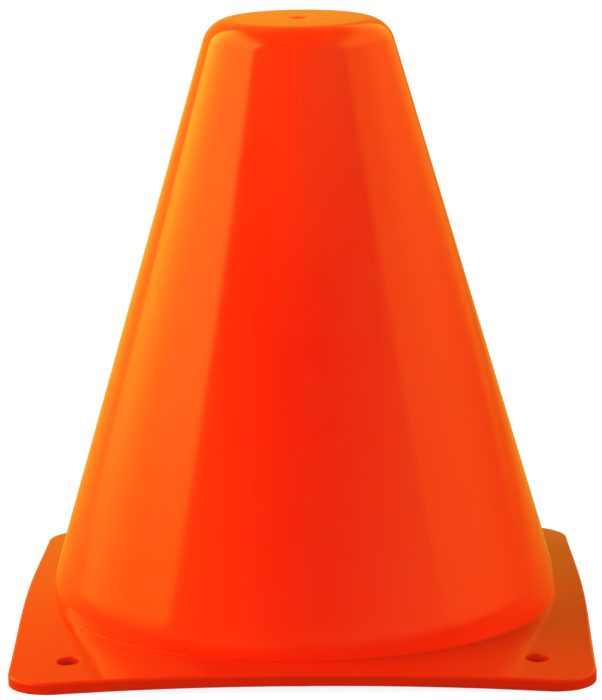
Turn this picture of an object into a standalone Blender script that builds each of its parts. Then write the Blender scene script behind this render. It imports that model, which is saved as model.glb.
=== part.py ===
"""Small glossy orange marker cone, in metres, +Z up, standing on z = 0 with its axis on Z.

Two mouldings: a hollow cone body, and a square base plate that the body comes up through.
The body's foot flange lies under the plate, so the plate holds the body down.
"""
import math

import bmesh
import bpy
from mathutils import Matrix, Vector

# Cone body
OVERALL_HEIGHT = 0.1524
BODY_WALL = 0.0015
TOP_RADIUS = 0.02221       # where the line of the wall meets the plane of the top
TOP_ROUND = 0.0074
GATE_RADIUS = 0.0030       # shallow sink in the middle of the top, left by the mould's gate
GATE_DEPTH = 0.0004
FOOT_RADIUS = 0.06402      # upright foot that passes through the plate
KNEE_HEIGHT = 0.00406      # from the plate's top up to where the line of the wall meets the foot
KNEE_ROUND = 0.0290
FLANGE_ROOT_ROUND = 0.0006

# Base plate
SIDE_MARGIN = 0.0074       # from the foot to the middle of each side
SIDE_CROWN = 0.0008        # how far the middle of a side stands out past its ends
CORNER_RADIUS = 0.0105
PLATE_THICKNESS = 0.0023
PLATE_FALL = math.radians(5.506)  # slope of the plate's top towards its edge
RIM_DROP = 0.00066         # how far the rim hangs below the plate's underside
RIM_WIDTH = 0.0018
EDGE_ROUND = 0.0007
BEAD_ROUND = 0.0010        # hollow round of the bead where the plate meets the foot
BEAD_LAND = 0.0003
CORNER_FLAT_DEPTH = 0.0003  # how much of each corner is flattened where it stands
HOLE_RADIUS = 0.0029
HOLE_INSET = 0.01424       # from each end of a side to the centre of a corner hole

# Fits
SEAT_CLEARANCE = 0.0003
FLANGE_TO_RIM = 0.0010

# Facets
BODY_SEGMENTS = 80
ARC_STEPS = 5
SIDE_STEPS = 16
CORNER_STEPS = 9
HOLE_SEGMENTS = 24
MERGE_DISTANCE = 0.000001
FILLET_SHARE = 0.75        # most of a straight stretch that one fillet may take
SMOOTH_ANGLE = math.radians(35)

ORANGE = (0.93, 0.035, 0.004, 1.0)
BASE_ORANGE = (0.90, 0.032, 0.004, 1.0)
GLOSS_ROUGHNESS = 0.22

# Derived places
side_middle = FOOT_RADIUS + SIDE_MARGIN
half_width = side_middle - SIDE_CROWN
corner_centre = half_width - CORNER_RADIUS
corner_reach = math.sqrt(2) * corner_centre + CORNER_RADIUS
rim_height = PLATE_THICKNESS + RIM_DROP
hole_offset = half_width - HOLE_INSET
opening_radius = FOOT_RADIUS + SEAT_CLEARANCE
flange_radius = side_middle - RIM_WIDTH - FLANGE_TO_RIM


def plate_top(radius):
    """Height of the plate's sloping top at a distance from the axis."""
    corner_top = rim_height - CORNER_FLAT_DEPTH
    return corner_top + math.tan(PLATE_FALL) * (corner_reach - radius)


def rounded(corners, radii):
    """Points along a profile whose inner corners become arcs of the given radii."""
    points = [corners[0]]
    for before, corner, after, radius in zip(corners, corners[1:], corners[2:], radii):
        back = before - corner
        ahead = after - corner
        half = back.angle(ahead) / 2
        reach = min(radius / math.tan(half), FILLET_SHARE * back.length, FILLET_SHARE * ahead.length)
        middle = (back.normalized() + ahead.normalized()).normalized()
        centre = corner + middle * (reach / math.cos(half))
        arm = corner + back.normalized() * reach - centre
        sweep = math.copysign(math.pi - 2 * half, -back.cross(ahead))
        for step in range(ARC_STEPS + 1):
            points.append(centre + Matrix.Rotation(sweep * step / ARC_STEPS, 2) @ arm)
    points.append(corners[-1])
    return points


def plastic(name, colour):
    """Glossy moulded plastic."""
    material = bpy.data.materials.new(name)
    material.use_nodes = True
    shader = material.node_tree.nodes["Principled BSDF"]
    shader.inputs["Base Color"].default_value = colour
    shader.inputs["Roughness"].default_value = GLOSS_ROUGHNESS
    shader.inputs["Metallic"].default_value = 0.0
    return material


def place(name, bm, material):
    """Turns a bmesh into a named object with its material and smooth shading."""
    mesh = bpy.data.meshes.new(name)
    bm.to_mesh(mesh)
    bm.free()
    mesh.materials.append(material)
    mesh.shade_smooth()
    mesh.set_sharp_from_angle(angle=SMOOTH_ANGLE)
    part = bpy.data.objects.new(name, mesh)
    bpy.context.scene.collection.objects.link(part)
    return part


def cone_body():
    """Hollow cone of even wall, spun from its outer profile, with its flange turned out at the foot."""
    foot_top = plate_top(FOOT_RADIUS)
    flange_top = foot_top - PLATE_THICKNESS - SEAT_CLEARANCE
    flange_fall = math.tan(PLATE_FALL) * (flange_radius - FOOT_RADIUS)
    corners = [
        Vector((GATE_RADIUS, OVERALL_HEIGHT)),
        Vector((TOP_RADIUS, OVERALL_HEIGHT)),
        Vector((FOOT_RADIUS, foot_top + KNEE_HEIGHT)),
        Vector((FOOT_RADIUS, flange_top)),
        Vector((flange_radius, flange_top - flange_fall)),
    ]
    profile = [Vector((0.0, OVERALL_HEIGHT - GATE_DEPTH))]
    profile += rounded(corners, [TOP_ROUND, KNEE_ROUND, FLANGE_ROOT_ROUND])

    bm = bmesh.new()
    line = [bm.verts.new((radius, 0.0, height)) for radius, height in profile]
    edges = [bm.edges.new(pair) for pair in zip(line, line[1:])]
    bmesh.ops.spin(bm, geom=line + edges, cent=(0, 0, 0), axis=(0, 0, 1), angle=math.tau,
                   steps=BODY_SEGMENTS, use_merge=True)
    bmesh.ops.remove_doubles(bm, verts=bm.verts, dist=MERGE_DISTANCE)
    bmesh.ops.recalc_face_normals(bm, faces=bm.faces)

    part = place("cone_body", bm, plastic("cone_plastic", ORANGE))
    shell = part.modifiers.new("wall", "SOLIDIFY")
    shell.thickness = BODY_WALL
    shell.offset = -1
    shell.use_even_offset = True
    return part


def outline():
    """Plan of the base's edge, anticlockwise from the +X side, as points with outward directions."""
    quarter = []
    for step in range(SIDE_STEPS):
        along = 2 * step / SIDE_STEPS - 1
        stand = SIDE_CROWN * (1 + math.cos(math.pi * along)) / 2
        lean = SIDE_CROWN * math.pi * math.sin(math.pi * along) / (2 * corner_centre)
        point = Vector((half_width + stand, along * corner_centre))
        quarter.append((point, Vector((1.0, lean)).normalized()))
    for step in range(CORNER_STEPS):
        angle = math.pi / 2 * step / CORNER_STEPS
        outward = Vector((math.cos(angle), math.sin(angle)))
        quarter.append((Vector((corner_centre, corner_centre)) + CORNER_RADIUS * outward, outward))
    edge = []
    for turn in range(4):
        quarter_turn = Matrix.Rotation(math.pi / 2 * turn, 2)
        edge += [(quarter_turn @ point, quarter_turn @ outward) for point, outward in quarter]
    return edge


def base_plate():
    """Square plate swept ring by ring round its section: opening, bead, sloping top, rim, underside."""
    edge = outline()

    def round_ring(radius, height):
        return [point.normalized().to_3d() * radius + Vector((0, 0, height)) for point, _ in edge]

    def edge_ring(inset, depth):
        ring = []
        for point, outward in edge:
            at = point - inset * outward
            height = plate_top(at.length) - depth
            ring.append(Vector((at.x, at.y, max(height, 0.0))))
        return ring

    bead_start = opening_radius + BEAD_LAND
    bead_end = bead_start + BEAD_ROUND
    bead_top = plate_top(bead_end) + BEAD_ROUND
    rings = [round_ring(opening_radius, plate_top(opening_radius) - PLATE_THICKNESS)]
    rings.append(round_ring(opening_radius, bead_top))
    for step in range(ARC_STEPS + 1):
        angle = math.pi / 2 * step / ARC_STEPS
        radius = bead_end - BEAD_ROUND * math.cos(angle)
        rings.append(round_ring(radius, bead_top - BEAD_ROUND * math.sin(angle)))
    for step in range(ARC_STEPS + 1):
        angle = math.pi / 2 * step / ARC_STEPS
        inset = EDGE_ROUND * (1 - math.sin(angle))
        rings.append(edge_ring(inset, EDGE_ROUND * (1 - math.cos(angle))))
    rings.append(edge_ring(0.0, rim_height))
    rings.append(edge_ring(RIM_WIDTH, rim_height))
    rings.append(edge_ring(RIM_WIDTH, PLATE_THICKNESS))

    bm = bmesh.new()
    loops = [[bm.verts.new(point) for point in ring] for ring in rings]
    for inner, outer in zip(loops, loops[1:] + loops[:1]):
        for corners in zip(inner, outer, outer[1:] + outer[:1], inner[1:] + inner[:1]):
            bm.faces.new(corners)
    bmesh.ops.recalc_face_normals(bm, faces=bm.faces)

    part = place("base_plate", bm, plastic("base_plastic", BASE_ORANGE))
    for turn in range(4):
        corner = Matrix.Rotation(math.pi / 2 * turn, 3, "Z") @ Vector((hole_offset, hole_offset, 0.0))
        cut = part.modifiers.new(f"corner_hole_{turn + 1}", "BOOLEAN")
        cut.operation = "DIFFERENCE"
        cut.solver = "EXACT"
        cut.object = hole_cutter(turn + 1, corner)
    return part


def hole_cutter(number, corner):
    """Upright round cutter for one corner hole."""
    bm = bmesh.new()
    bmesh.ops.create_cone(bm, cap_ends=True, segments=HOLE_SEGMENTS, radius1=HOLE_RADIUS,
                          radius2=HOLE_RADIUS, depth=2 * plate_top(0.0), matrix=Matrix.Translation(corner))
    cutter = place(f"hole_cutter_{number}", bm, plastic("cutter", BASE_ORANGE))
    cutter.hide_render = True
    cutter.display_type = "WIRE"
    return cutter


for old in list(bpy.data.objects):
    bpy.data.objects.remove(old)
cone_body()
base_plate()
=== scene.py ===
"""Small glossy orange marker cone: the finished look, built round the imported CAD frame.

Two moulded pieces, the hollow cone body and the square base plate it stands up through.
Metres, +Z up, standing on z = 0 with the axis on Z and the photographed side towards -Y.
"""
import math

import bmesh
import bpy
from mathutils import Matrix, Vector


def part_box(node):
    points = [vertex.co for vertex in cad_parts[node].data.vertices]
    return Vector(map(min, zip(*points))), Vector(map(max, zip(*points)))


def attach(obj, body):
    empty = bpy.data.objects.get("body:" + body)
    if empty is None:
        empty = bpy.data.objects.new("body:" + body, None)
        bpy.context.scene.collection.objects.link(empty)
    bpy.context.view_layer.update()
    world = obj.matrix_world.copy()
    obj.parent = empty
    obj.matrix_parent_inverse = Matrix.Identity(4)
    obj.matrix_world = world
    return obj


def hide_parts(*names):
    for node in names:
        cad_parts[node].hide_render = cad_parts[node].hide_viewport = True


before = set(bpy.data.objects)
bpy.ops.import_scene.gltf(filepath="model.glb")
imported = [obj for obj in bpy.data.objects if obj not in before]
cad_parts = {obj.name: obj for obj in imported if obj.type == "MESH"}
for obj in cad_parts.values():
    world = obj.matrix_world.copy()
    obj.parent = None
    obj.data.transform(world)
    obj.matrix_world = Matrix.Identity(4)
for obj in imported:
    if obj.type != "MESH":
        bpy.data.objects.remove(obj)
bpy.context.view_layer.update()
plate_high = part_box("base_plate")[1]
cone_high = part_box("cone_body")[1]

MM = 0.001

# Cone body
OVERALL_HEIGHT = cone_high.z
BODY_WALL = 1.5 * MM
TOP_RADIUS = 22.21 * MM        # where the line of the wall meets the plane of the top
TOP_ROUND = 7.4 * MM
FOOT_RADIUS = 64.02 * MM       # upright foot that passes through the plate
KNEE_HEIGHT = 4.06 * MM        # from the plate's top up to where the line of the wall meets the foot
KNEE_ROUND = 29.0 * MM
FLANGE_ROOT_ROUND = 0.6 * MM

# Gate mark in the middle of the top: a small pit in a shallow dish
DISH_RADIUS = 3.0 * MM
DISH_DEPTH = 0.05 * MM
DISH_ROUND = 1.0 * MM
PIT_RADIUS = 2.2 * MM
PIT_FLOOR_RADIUS = 1.3 * MM
PIT_DEPTH = 0.35 * MM
PIT_ROUND = 0.5 * MM

# Base plate
SIDE_MARGIN = plate_high.x - FOOT_RADIUS  # from the foot to the middle of each side
SIDE_CROWN = 0.8 * MM          # how far the middle of a side stands out past its ends
CORNER_RADIUS = 10.5 * MM
PLATE_THICKNESS = 2.3 * MM
PLATE_FALL = math.radians(5.506)  # slope of the plate's top towards its edge
RIM_DROP = 0.66 * MM           # how far the rim hangs below the plate's underside
RIM_WIDTH = 1.8 * MM
EDGE_ROUND = 0.7 * MM
RIM_FOOT_BEVEL = 0.25 * MM     # outer lower edge of the rim
BEAD_ROUND = 0.25 * MM         # hollow round of the bead where the plate meets the foot
BEAD_LAND = 0.02 * MM
CORNER_FLAT_DEPTH = 0.3 * MM   # how much of each corner is flattened where it stands
HOLE_RADIUS = 3.15 * MM        # at the plate's top, over the rounded lip
HOLE_INSET = 14.24 * MM        # from each end of a side to the centre of a corner hole
HOLE_LIP = 0.5 * MM            # round of the lip
HOLE_DRAFT = math.radians(14)  # how much the hole narrows downwards
LIP_END = math.radians(10)     # slope at which the lip runs out into the plate's top

# Fits
SEAM_WIDTH = 0.03 * MM         # the bead's lip closes on the foot to a hairline
SEAT_CLEARANCE = 0.3 * MM
FLANGE_TO_RIM = 1.0 * MM

# Smoothness of the meshes
BODY_SEGMENTS = 256
ARC_STEPS = 16
SIDE_STEPS = 48
CORNER_STEPS = 24
HOLE_SEGMENTS = 64
LIP_STEPS = 6
MERGE_DISTANCE = 0.001 * MM
FILLET_SHARE = 0.75            # most of a straight stretch that one fillet may take
SMOOTH_ANGLE = math.radians(35)

# Plastic
CONE_ORANGE = "#F9240B"
CONE_ORANGE_PALE = "#FB290C"
CONE_GLOSS = 0.5
# The base's two oranges are darker than the cone's: painted shade, standing in for the plate's top getting
# less light than the cone's front
BASE_ORANGE_SHADED = "#D82611"
BASE_ORANGE_PALE_SHADED = "#DB2912"
BASE_GLOSS = 0.16
POLYETHYLENE_IOR = 1.5
CLOUD_SIZE = 30 * MM
WEAR_SIZE = 6 * MM
WEAR_SPAN = (0.35, 0.75)       # values of the noise over which the gloss goes from clear to dull
CLEAR_ROUGHNESS = 0.11
DULL_ROUGHNESS = 0.16
RIPPLE_SIZE = 1.5 * MM
RIPPLE_HEIGHT = 0.004 * MM

# Camera, at the photograph's place: metres and radians, with the sensor in millimetres
CAMERA_DISTANCE = 0.8781
CAMERA_HEIGHT = 0.2573
CAMERA_PITCH = 0.2121
CAMERA_ROLL = -0.0116
CAMERA_TURN = 0.0149           # round the cone, away from square to the base's front
CAMERA_PAN = 0.0003
CAMERA_NEAR = 0.01
FOCAL_PIXELS = 3556.65
IMAGE_HEIGHT = 700
SENSOR = 36.0

# Panels that only the gloss sees
GLOSS_COLOUR = "#FFCE38"
PANEL_DISTANCE = 1.0
PANEL_RISE = math.radians(25)
PANEL_HEIGHT = 1.5
PANEL_LOW_FADE = 0.55          # shares of the panel's height
PANEL_HIGH_FADE = 0.24
PANEL_SLANT_FADE = 0.45        # share of half the panel's diagonal
PANEL_POWER = 4                # watts for each square metre at a brightness of 1

# Room that only the gloss sees; over a span of a direction's X, Y or Z, one level turns to the next
ROOM_LEFT = 1.55
ROOM_RIGHT = 0.12
ROOM_SIDE_SPAN = (-0.8, 0.8)
ROOM_FRONT = 0.8
ROOM_FRONT_SPAN = (0.375, 0.43)
ROOM_HAZE = 0.5
ROOM_HAZE_SPAN = (0.25, 0.85)
ROOM_LOW = 0.4
ROOM_LOW_SPAN = (0.33, 0.22)
ROOM_DEPTH_SPAN = (0.1, 0.6)

# Soft light for the colours: the surroundings, brightest along the lean, and one lamp
AMBIENT = 1.22
AMBIENT_LEAN = (1.2, -0.22, -1.25)
AMBIENT_COLOUR = "#FFE6B4"
LEFT_LAMP_PLACE = (-0.66, -0.12, 0.48)
LEFT_LAMP_COLOUR = "#FFDC96"
LEFT_LAMP_SIZE = 0.7
LEFT_LAMP_POWER = 8.5

# Floor; the last six are what the gloss sees of it, as levels and as metres over which they change
FLOOR_REACH = 6.0
FLOOR_PAINT = "#B4B4B4"
FLOOR_LIFT = 0.95
FLOOR_LIFT_COLOUR = "#F2F7FF"
FLOOR_LEFT = 1.35
FLOOR_RIGHT = 0.5
FLOOR_SIDE_SPAN = (-0.4, 0.4)
FLOOR_FRONT = 0.2
FLOOR_FRONT_SPAN = (-0.3, 0.0)
FLOOR_DEPTH_SPAN = (-0.1, 0.2)

# Derived places
side_middle = FOOT_RADIUS + SIDE_MARGIN
half_width = side_middle - SIDE_CROWN
corner_centre = half_width - CORNER_RADIUS
corner_reach = math.sqrt(2) * corner_centre + CORNER_RADIUS
rim_height = PLATE_THICKNESS + RIM_DROP
hole_offset = half_width - HOLE_INSET
opening_radius = FOOT_RADIUS + SEAT_CLEARANCE
flange_radius = side_middle - RIM_WIDTH - FLANGE_TO_RIM
cone_middle = Vector((0, 0, OVERALL_HEIGHT / 2))


def linear(hex_colour):
    """Linear colour of an sRGB hex value."""
    channels = [int(hex_colour[start:start + 2], 16) / 255 for start in (1, 3, 5)]
    return [c / 12.92 if c <= 0.04045 else ((c + 0.055) / 1.055) ** 2.4 for c in channels] + [1.0]


def node(tree, kind, links=None, settings=None, **values):
    """Adds a node, sets its properties and inputs, and links its inputs from other nodes' outputs."""
    made = tree.nodes.new(kind)
    for name, value in (settings or {}).items():
        setattr(made, name, value)
    for name, value in values.items():
        made.inputs[name.replace("_", " ")].default_value = value
    for socket, output in (links or {}).items():
        tree.links.new(output, made.inputs[socket])
    return made


def plate_top(radius):
    """Height of the plate's sloping top at a distance from the axis."""
    corner_top = rim_height - CORNER_FLAT_DEPTH
    return corner_top + math.tan(PLATE_FALL) * (corner_reach - radius)


def rounded(corners, radii):
    """Points along a profile whose inner corners become arcs of the given radii."""
    points = [corners[0]]
    for before, corner, after, radius in zip(corners, corners[1:], corners[2:], radii):
        back = before - corner
        ahead = after - corner
        half = back.angle(ahead) / 2
        reach = min(radius / math.tan(half), FILLET_SHARE * back.length, FILLET_SHARE * ahead.length)
        middle = (back.normalized() + ahead.normalized()).normalized()
        centre = corner + middle * (reach / math.cos(half))
        arm = corner + back.normalized() * reach - centre
        sweep = math.copysign(math.pi - 2 * half, -back.cross(ahead))
        for step in range(ARC_STEPS + 1):
            points.append(centre + Matrix.Rotation(sweep * step / ARC_STEPS, 2) @ arm)
    points.append(corners[-1])
    return points


def spin_profile(bm, profile, seat, segments):
    """Spins a profile of radii and heights a full turn round the Z axis of its seat."""
    line = [bm.verts.new(seat @ Vector((radius, 0.0, height))) for radius, height in profile]
    edges = [bm.edges.new(pair) for pair in zip(line, line[1:])]
    bmesh.ops.spin(bm, geom=line + edges, cent=seat.translation, axis=seat.col[2].to_3d(),
                   angle=math.tau, steps=segments, use_merge=True)


def close_up(bm):
    """Merges what meets and turns all faces outwards."""
    bmesh.ops.remove_doubles(bm, verts=bm.verts, dist=MERGE_DISTANCE)
    bmesh.ops.recalc_face_normals(bm, faces=bm.faces)


def place(name, bm, material):
    """Turns a bmesh into a named object with its material and smooth shading."""
    mesh = bpy.data.meshes.new(name)
    bm.to_mesh(mesh)
    bm.free()
    mesh.materials.append(material)
    mesh.shade_smooth()
    mesh.set_sharp_from_angle(angle=SMOOTH_ANGLE)
    piece = bpy.data.objects.new(name, mesh)
    bpy.context.scene.collection.objects.link(piece)
    return piece


def glossy_polyethylene(name, hex_colour, hex_pale, gloss_level):
    """Injection-moulded fluorescent polyethylene: saturated orange under a clear, slightly rippled gloss."""
    material = bpy.data.materials.new(name)
    material.use_nodes = True
    tree = material.node_tree
    shader = tree.nodes["Principled BSDF"]
    shader.inputs["IOR"].default_value = POLYETHYLENE_IOR
    shader.inputs["Specular IOR Level"].default_value = gloss_level
    where = node(tree, "ShaderNodeTexCoord").outputs["Object"]

    # Flow of the melt: broad, very faint clouds in the pigment
    clouds = node(tree, "ShaderNodeTexNoise", {"Vector": where}, Scale=1 / CLOUD_SIZE, Detail=3.0)
    colour = node(tree, "ShaderNodeMix", {"Factor": clouds.outputs["Fac"]}, {"data_type": "RGBA"},
                  A=linear(hex_colour), B=linear(hex_pale))
    tree.links.new(colour.outputs["Result"], shader.inputs["Base Color"])

    # Handling: the gloss is a little duller in patches
    wear = node(tree, "ShaderNodeTexNoise", {"Vector": where}, Scale=1 / WEAR_SIZE, Detail=5.0)
    dull = node(tree, "ShaderNodeMapRange", {"Value": wear.outputs["Fac"]},
                From_Min=WEAR_SPAN[0], From_Max=WEAR_SPAN[1], To_Min=CLEAR_ROUGHNESS, To_Max=DULL_ROUGHNESS)
    tree.links.new(dull.outputs["Result"], shader.inputs["Roughness"])

    # Moulded skin: a fine ripple, a few micrometres high
    skin = node(tree, "ShaderNodeTexNoise", {"Vector": where}, Scale=1 / RIPPLE_SIZE, Detail=2.0)
    ripple = node(tree, "ShaderNodeBump", {"Height": skin.outputs["Fac"]},
                  Strength=1.0, Distance=RIPPLE_HEIGHT)
    tree.links.new(ripple.outputs["Normal"], shader.inputs["Normal"])
    return material


def cone_body(material):
    """Hollow cone of even wall, spun from its outer profile, with its flange turned out at the foot."""
    foot_top = plate_top(FOOT_RADIUS)
    flange_top = foot_top - PLATE_THICKNESS - SEAT_CLEARANCE
    flange_fall = math.tan(PLATE_FALL) * (flange_radius - FOOT_RADIUS)
    corners = [
        Vector((0.0, OVERALL_HEIGHT - PIT_DEPTH)),
        Vector((PIT_FLOOR_RADIUS, OVERALL_HEIGHT - PIT_DEPTH)),
        Vector((PIT_RADIUS, OVERALL_HEIGHT - DISH_DEPTH)),
        Vector((DISH_RADIUS, OVERALL_HEIGHT)),
        Vector((TOP_RADIUS, OVERALL_HEIGHT)),
        Vector((FOOT_RADIUS, foot_top + KNEE_HEIGHT)),
        Vector((FOOT_RADIUS, flange_top)),
        Vector((flange_radius, flange_top - flange_fall)),
    ]
    radii = [PIT_ROUND, PIT_ROUND, DISH_ROUND, TOP_ROUND, KNEE_ROUND, FLANGE_ROOT_ROUND]

    bm = bmesh.new()
    spin_profile(bm, rounded(corners, radii), Matrix.Identity(4), BODY_SEGMENTS)
    close_up(bm)
    piece = place("moulded_cone", bm, material)
    shell = piece.modifiers.new("wall", "SOLIDIFY")
    shell.thickness = BODY_WALL
    shell.offset = -1
    shell.use_even_offset = True
    return piece


def outline():
    """Plan of the base's edge, anticlockwise from the +X side, as points with outward directions."""
    quarter = []
    for step in range(SIDE_STEPS):
        along = 2 * step / SIDE_STEPS - 1
        stand = SIDE_CROWN * (1 + math.cos(math.pi * along)) / 2
        lean = SIDE_CROWN * math.pi * math.sin(math.pi * along) / (2 * corner_centre)
        point = Vector((half_width + stand, along * corner_centre))
        quarter.append((point, Vector((1.0, lean)).normalized()))
    for step in range(CORNER_STEPS):
        angle = math.pi / 2 * step / CORNER_STEPS
        outward = Vector((math.cos(angle), math.sin(angle)))
        quarter.append((Vector((corner_centre, corner_centre)) + CORNER_RADIUS * outward, outward))
    edge = []
    for turn in range(4):
        quarter_turn = Matrix.Rotation(math.pi / 2 * turn, 2)
        edge += [(quarter_turn @ point, quarter_turn @ outward) for point, outward in quarter]
    return edge


def base_plate(material):
    """Square plate extruded ring by ring round its section: opening, bead, sloping top, rim, underside."""
    edge = outline()

    def round_ring(radius, height):
        return [point.normalized().to_3d() * radius + Vector((0, 0, height)) for point, _ in edge]

    def edge_ring(inset, depth):
        ring = []
        for point, outward in edge:
            at = point - inset * outward
            ring.append(Vector((at.x, at.y, max(plate_top(at.length) - depth, 0.0))))
        return ring

    bead_start = FOOT_RADIUS + SEAM_WIDTH + BEAD_LAND
    bead_end = bead_start + BEAD_ROUND
    bead_top = plate_top(bead_end) + BEAD_ROUND
    first_ring = round_ring(opening_radius, plate_top(opening_radius) - PLATE_THICKNESS)
    rings = [round_ring(FOOT_RADIUS + SEAM_WIDTH, bead_top)]
    for step in range(ARC_STEPS + 1):
        angle = math.pi / 2 * step / ARC_STEPS
        radius = bead_end - BEAD_ROUND * math.cos(angle)
        rings.append(round_ring(radius, bead_top - BEAD_ROUND * math.sin(angle)))
    for step in range(ARC_STEPS + 1):
        angle = math.pi / 2 * step / ARC_STEPS
        inset = EDGE_ROUND * (1 - math.sin(angle))
        rings.append(edge_ring(inset, EDGE_ROUND * (1 - math.cos(angle))))
    rings.append(edge_ring(0.0, rim_height - RIM_FOOT_BEVEL))
    rings.append(edge_ring(RIM_FOOT_BEVEL, rim_height))
    rings.append(edge_ring(RIM_WIDTH, rim_height))
    rings.append(edge_ring(RIM_WIDTH, PLATE_THICKNESS))
    rings.append(first_ring)

    bm = bmesh.new()
    station = bm.verts.layers.int.new("station")
    loop = [bm.verts.new(point) for point in first_ring]
    for number, vertex in enumerate(loop):
        vertex[station] = number
    edges = [bm.edges.new(pair) for pair in zip(loop, loop[1:] + loop[:1])]
    for ring in rings:
        grown = bmesh.ops.extrude_edge_only(bm, edges=edges)["geom"]
        edges = [item for item in grown if isinstance(item, bmesh.types.BMEdge)]
        for vertex in [item for item in grown if isinstance(item, bmesh.types.BMVert)]:
            vertex.co = ring[vertex[station]]
    close_up(bm)
    whole = place("whole_plate", bm, material)

    cutter = hole_cutters(material)
    cut = whole.modifiers.new("corner_holes", "BOOLEAN")
    cut.operation = "DIFFERENCE"
    cut.solver = "EXACT"
    cut.object = cutter
    drilled = bmesh.new()
    drilled.from_object(whole, bpy.context.evaluated_depsgraph_get())
    bpy.data.objects.remove(cutter)
    bpy.data.objects.remove(whole)
    piece = place("moulded_base", drilled, material)
    even = piece.modifiers.new("even_shading", "WEIGHTED_NORMAL")
    even.keep_sharp = True
    return piece


def hole_cutters(material):
    """Four tapered pegs square to the plate's slope, each flaring out to its top in a rounded lip."""
    foot = -2 * PLATE_THICKNESS
    narrow = HOLE_RADIUS - HOLE_LIP + math.tan(HOLE_DRAFT) * (foot + HOLE_LIP)
    profile = [Vector((0.0, foot)), Vector((narrow, foot))]
    steepest = math.pi / 2 - HOLE_DRAFT
    for step in range(LIP_STEPS + 1):
        slope = steepest + (LIP_END - steepest) * step / LIP_STEPS
        profile.append(Vector((HOLE_RADIUS - HOLE_LIP * math.sin(slope), HOLE_LIP * (math.cos(slope) - 1))))
    profile.append(profile[-1] + HOLE_LIP * Vector((math.cos(LIP_END), math.sin(LIP_END))))
    profile.append(Vector((0.0, profile[-1].y)))

    centre = Vector((hole_offset, hole_offset, plate_top(math.sqrt(2) * hole_offset)))
    square_on = Matrix.Translation(centre) @ Matrix.Rotation(PLATE_FALL, 4, Vector((-1, 1, 0)))
    bm = bmesh.new()
    for turn in range(4):
        spin_profile(bm, profile, Matrix.Rotation(math.pi / 2 * turn, 4, "Z") @ square_on, HOLE_SEGMENTS)
    close_up(bm)
    return place("hole_cutters", bm, material)


def softbox(name, azimuths, brightness, start_share, end_share):
    """Tall panel that the gloss reflects, between two azimuths in degrees; 0 is in front, right is positive.

    It fades out at its lower and upper edges. On the slant from the lower corner at its start to the upper
    corner at its end, it begins at one share of its brightness and keeps to another from the middle on.
    """
    start, end = azimuths
    swing = math.radians((start + end) / 2)
    light = bpy.data.lights.new(name, "AREA")
    light.shape = "RECTANGLE"
    light.size = 2 * PANEL_DISTANCE * math.tan(math.radians(end - start) / 2)
    light.size_y = PANEL_HEIGHT
    light.energy = brightness * PANEL_POWER * light.size * light.size_y
    light.color = linear(GLOSS_COLOUR)[:3]
    light.use_nodes = True
    tree = light.node_tree

    # Parametric X runs from the panel's start to its end and Y runs up it, so their sum runs on the slant
    spot = node(tree, "ShaderNodeNewGeometry").outputs["Parametric"]
    share = node(tree, "ShaderNodeSeparateXYZ", {"Vector": spot})
    up = share.outputs["Y"]
    slant = node(tree, "ShaderNodeMath", {0: share.outputs["X"], 1: up}, {"operation": "ADD"}).outputs[0]
    low = node(tree, "ShaderNodeMapRange", {"Value": up}, {"interpolation_type": "SMOOTHSTEP"},
               From_Max=PANEL_LOW_FADE)
    high = node(tree, "ShaderNodeMapRange", {"Value": up}, {"interpolation_type": "SMOOTHSTEP"},
                From_Min=1.0, From_Max=1.0 - PANEL_HIGH_FADE)
    first = node(tree, "ShaderNodeMapRange", {"Value": slant}, From_Max=PANEL_SLANT_FADE, To_Min=start_share)
    last = node(tree, "ShaderNodeMapRange", {"Value": slant},
                From_Min=1.0, From_Max=1.0 - PANEL_SLANT_FADE, To_Min=end_share)
    level = low.outputs["Result"]
    for fade in (high, first, last):
        level = node(tree, "ShaderNodeMath", {0: level, 1: fade.outputs["Result"]},
                     {"operation": "MULTIPLY"}).outputs[0]
    tree.links.new(level, tree.nodes["Emission"].inputs["Strength"])

    lamp = bpy.data.objects.new(name, light)
    bpy.context.scene.collection.objects.link(lamp)
    lamp.visible_diffuse = False
    level_away = Vector((math.sin(swing), -math.cos(swing), 0.0))
    away = level_away * math.cos(PANEL_RISE) + Vector((0, 0, math.sin(PANEL_RISE)))
    lamp.location = cone_middle + PANEL_DISTANCE * away
    lamp.rotation_euler = away.to_track_quat("Z", "Y").to_euler()


def left_lamp():
    """Large warm lamp high on the left, which makes the left of the base brighter than its right."""
    light = bpy.data.lights.new("left_lamp", "AREA")
    light.shape = "DISK"
    light.size = LEFT_LAMP_SIZE
    light.energy = LEFT_LAMP_POWER
    light.color = linear(LEFT_LAMP_COLOUR)[:3]
    lamp = bpy.data.objects.new("left_lamp", light)
    bpy.context.scene.collection.objects.link(lamp)
    lamp.visible_glossy = False
    lamp.location = LEFT_LAMP_PLACE
    lamp.rotation_euler = (lamp.location - cone_middle).to_track_quat("Z", "Y").to_euler()


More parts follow.
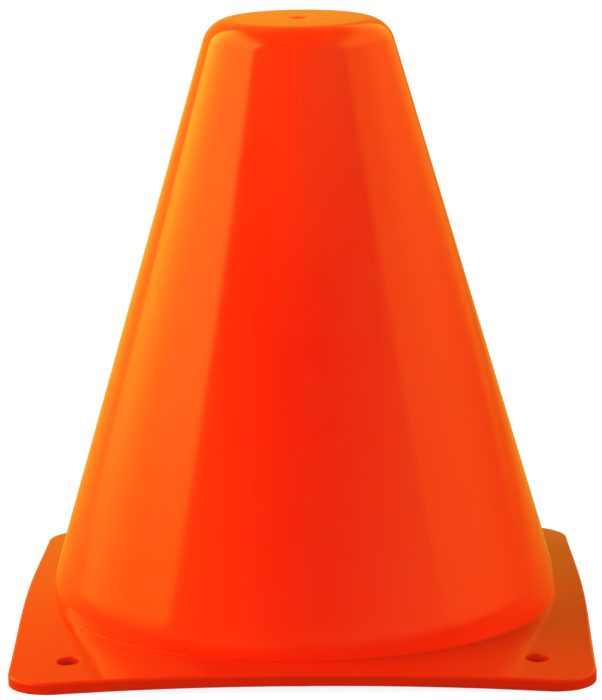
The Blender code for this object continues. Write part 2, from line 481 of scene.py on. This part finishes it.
def studio_world():
    """White for the camera, soft light for the colours, and a warm room for the gloss to reflect."""
    world = bpy.data.worlds.new("studio")
    bpy.context.scene.world = world
    world.use_nodes = True
    world.cycles.sampling_method = "NONE"
    tree = world.node_tree
    background = tree.nodes["Background"]
    path = node(tree, "ShaderNodeLightPath")
    direction = node(tree, "ShaderNodeTexCoord").outputs["Generated"]
    axes = node(tree, "ShaderNodeSeparateXYZ", {"Vector": direction})

    # Back of the room, from its left to its right
    side = node(tree, "ShaderNodeMapRange", {"Value": axes.outputs["X"]},
                From_Min=ROOM_SIDE_SPAN[0], From_Max=ROOM_SIDE_SPAN[1], To_Min=ROOM_LEFT, To_Max=ROOM_RIGHT)

    # Front of the room: bright above, hazy to both sides, and a glow low down
    front = node(tree, "ShaderNodeMapRange", {"Value": axes.outputs["Z"]},
                 {"interpolation_type": "SMOOTHSTEP"},
                 From_Min=ROOM_FRONT_SPAN[0], From_Max=ROOM_FRONT_SPAN[1], To_Max=ROOM_FRONT)
    width = node(tree, "ShaderNodeMath", {0: axes.outputs["X"]}, {"operation": "ABSOLUTE"})
    haze = node(tree, "ShaderNodeMapRange", {"Value": width.outputs[0]},
                From_Min=ROOM_HAZE_SPAN[0], From_Max=ROOM_HAZE_SPAN[1], To_Max=ROOM_HAZE)
    low = node(tree, "ShaderNodeMapRange", {"Value": axes.outputs["Z"]},
               From_Min=ROOM_LOW_SPAN[0], From_Max=ROOM_LOW_SPAN[1], To_Max=ROOM_LOW)
    upper = node(tree, "ShaderNodeMath", {0: front.outputs["Result"], 1: haze.outputs["Result"]},
                 {"operation": "ADD"})
    near = node(tree, "ShaderNodeMath", {0: upper.outputs[0], 1: low.outputs["Result"]},
                {"operation": "ADD"})
    room = node(tree, "ShaderNodeMapRange", {"Value": axes.outputs["Y"], "To Min": near.outputs[0],
                                             "To Max": side.outputs["Result"]},
                From_Min=ROOM_DEPTH_SPAN[0], From_Max=ROOM_DEPTH_SPAN[1])

    # Soft light, never below nothing
    lean = node(tree, "ShaderNodeVectorMath", {0: direction}, {"operation": "DOT_PRODUCT"})
    lean.inputs[1].default_value = AMBIENT_LEAN
    leaning = node(tree, "ShaderNodeMath", {0: lean.outputs["Value"]}, {"operation": "ADD"})
    leaning.inputs[1].default_value = AMBIENT
    soft = node(tree, "ShaderNodeMath", {0: leaning.outputs[0]}, {"operation": "MAXIMUM"})
    soft.inputs[1].default_value = 0.0

    glossy = path.outputs["Is Glossy Ray"]
    seen = node(tree, "ShaderNodeMath", {0: path.outputs["Is Camera Ray"],
                                         1: path.outputs["Is Transmission Ray"]}, {"operation": "MAXIMUM"})
    light = node(tree, "ShaderNodeMix", {"Factor": glossy, "A": soft.outputs[0],
                                         "B": room.outputs["Result"]}, {"data_type": "FLOAT"})
    level = node(tree, "ShaderNodeMix", {"Factor": seen.outputs[0], "A": light.outputs["Result"]},
                 {"data_type": "FLOAT"}, B=1.0)
    tint = node(tree, "ShaderNodeMix", {"Factor": glossy}, {"data_type": "RGBA"},
                A=linear(AMBIENT_COLOUR), B=linear(GLOSS_COLOUR))
    colour = node(tree, "ShaderNodeMix", {"Factor": seen.outputs[0], "A": tint.outputs["Result"]},
                  {"data_type": "RGBA"}, B=linear("#FFFFFF"))
    tree.links.new(colour.outputs["Result"], background.inputs["Color"])
    tree.links.new(level.outputs["Result"], background.inputs["Strength"])


def pale_floor():
    """Painted floor: white to the camera but for the cone's faint shadow, and warm to the gloss."""
    material = bpy.data.materials.new("white_floor_paint")
    material.use_nodes = True
    tree = material.node_tree
    paint = tree.nodes["Principled BSDF"]
    paint.inputs["Base Color"].default_value = linear(FLOOR_PAINT)
    paint.inputs["Roughness"].default_value = 1.0
    paint.inputs["Specular IOR Level"].default_value = 0.0
    path = node(tree, "ShaderNodeLightPath")
    where = node(tree, "ShaderNodeTexCoord").outputs["Object"]
    axes = node(tree, "ShaderNodeSeparateXYZ", {"Vector": where})

    # What the gloss sees: bright on the left, dimmer at the back right and dimmest at the front right
    side = node(tree, "ShaderNodeMapRange", {"Value": axes.outputs["X"]}, From_Min=FLOOR_SIDE_SPAN[0],
                From_Max=FLOOR_SIDE_SPAN[1], To_Min=FLOOR_LEFT, To_Max=FLOOR_RIGHT)
    near = node(tree, "ShaderNodeMapRange", {"Value": axes.outputs["X"]}, From_Min=FLOOR_FRONT_SPAN[0],
                From_Max=FLOOR_FRONT_SPAN[1], To_Min=FLOOR_LEFT, To_Max=FLOOR_FRONT)
    depth = node(tree, "ShaderNodeMapRange", {"Value": axes.outputs["Y"], "To Min": near.outputs["Result"],
                                              "To Max": side.outputs["Result"]},
                 From_Min=FLOOR_DEPTH_SPAN[0], From_Max=FLOOR_DEPTH_SPAN[1])
    warm = node(tree, "ShaderNodeEmission", {"Strength": depth.outputs["Result"]},
                Color=linear(GLOSS_COLOUR))

    # What the camera sees: the lit paint, lifted to white
    lift = node(tree, "ShaderNodeMath", {0: path.outputs["Is Camera Ray"]}, {"operation": "MULTIPLY"})
    lift.inputs[1].default_value = FLOOR_LIFT
    glow = node(tree, "ShaderNodeEmission", {"Strength": lift.outputs[0]}, Color=linear(FLOOR_LIFT_COLOUR))
    lit = node(tree, "ShaderNodeAddShader", {0: paint.outputs[0], 1: glow.outputs[0]})
    both = node(tree, "ShaderNodeMixShader", {0: path.outputs["Is Glossy Ray"], 1: lit.outputs[0],
                                              2: warm.outputs[0]})
    tree.links.new(both.outputs[0], tree.nodes["Material Output"].inputs["Surface"])

    bm = bmesh.new()
    bmesh.ops.create_grid(bm, x_segments=1, y_segments=1, size=FLOOR_REACH)
    floor = place("floor", bm, material)


def camera():
    """The photograph's viewpoint."""
    lens = bpy.data.cameras.new("camera")
    lens.sensor_fit = "VERTICAL"
    lens.sensor_height = SENSOR
    lens.lens = FOCAL_PIXELS / IMAGE_HEIGHT * SENSOR
    lens.clip_start = CAMERA_NEAR
    viewer = bpy.data.objects.new("camera", lens)
    bpy.context.scene.collection.objects.link(viewer)
    stand = Matrix.Rotation(CAMERA_TURN, 4, "Z") @ Matrix.Translation((0, -CAMERA_DISTANCE, CAMERA_HEIGHT))
    look = Matrix.Rotation(CAMERA_PAN, 4, "Z") @ Matrix.Rotation(math.pi / 2 - CAMERA_PITCH, 4, "X")
    viewer.matrix_world = stand @ look @ Matrix.Rotation(CAMERA_ROLL, 4, "Z")
    bpy.context.scene.camera = viewer


glossy = glossy_polyethylene("glossy_orange_polyethylene", CONE_ORANGE, CONE_ORANGE_PALE, CONE_GLOSS)
cone = cone_body(glossy)
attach(cone, "root")
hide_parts("cone_body")

# The base's material carries the darker orange, which is painted shade
satin = glossy_polyethylene("satin_shaded_orange_polyethylene", BASE_ORANGE_SHADED, BASE_ORANGE_PALE_SHADED, BASE_GLOSS)
base = base_plate(satin)
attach(base, "root")
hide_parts("base_plate")

softbox("key_left", azimuths=(-134, -61), brightness=4.6, start_share=0.56, end_share=0.68)
softbox("fill_right", azimuths=(66, 160), brightness=0.62, start_share=1.0, end_share=2.0)
left_lamp()
studio_world()
pale_floor()
camera()
bpy.context.scene.view_settings.view_transform = "Standard"
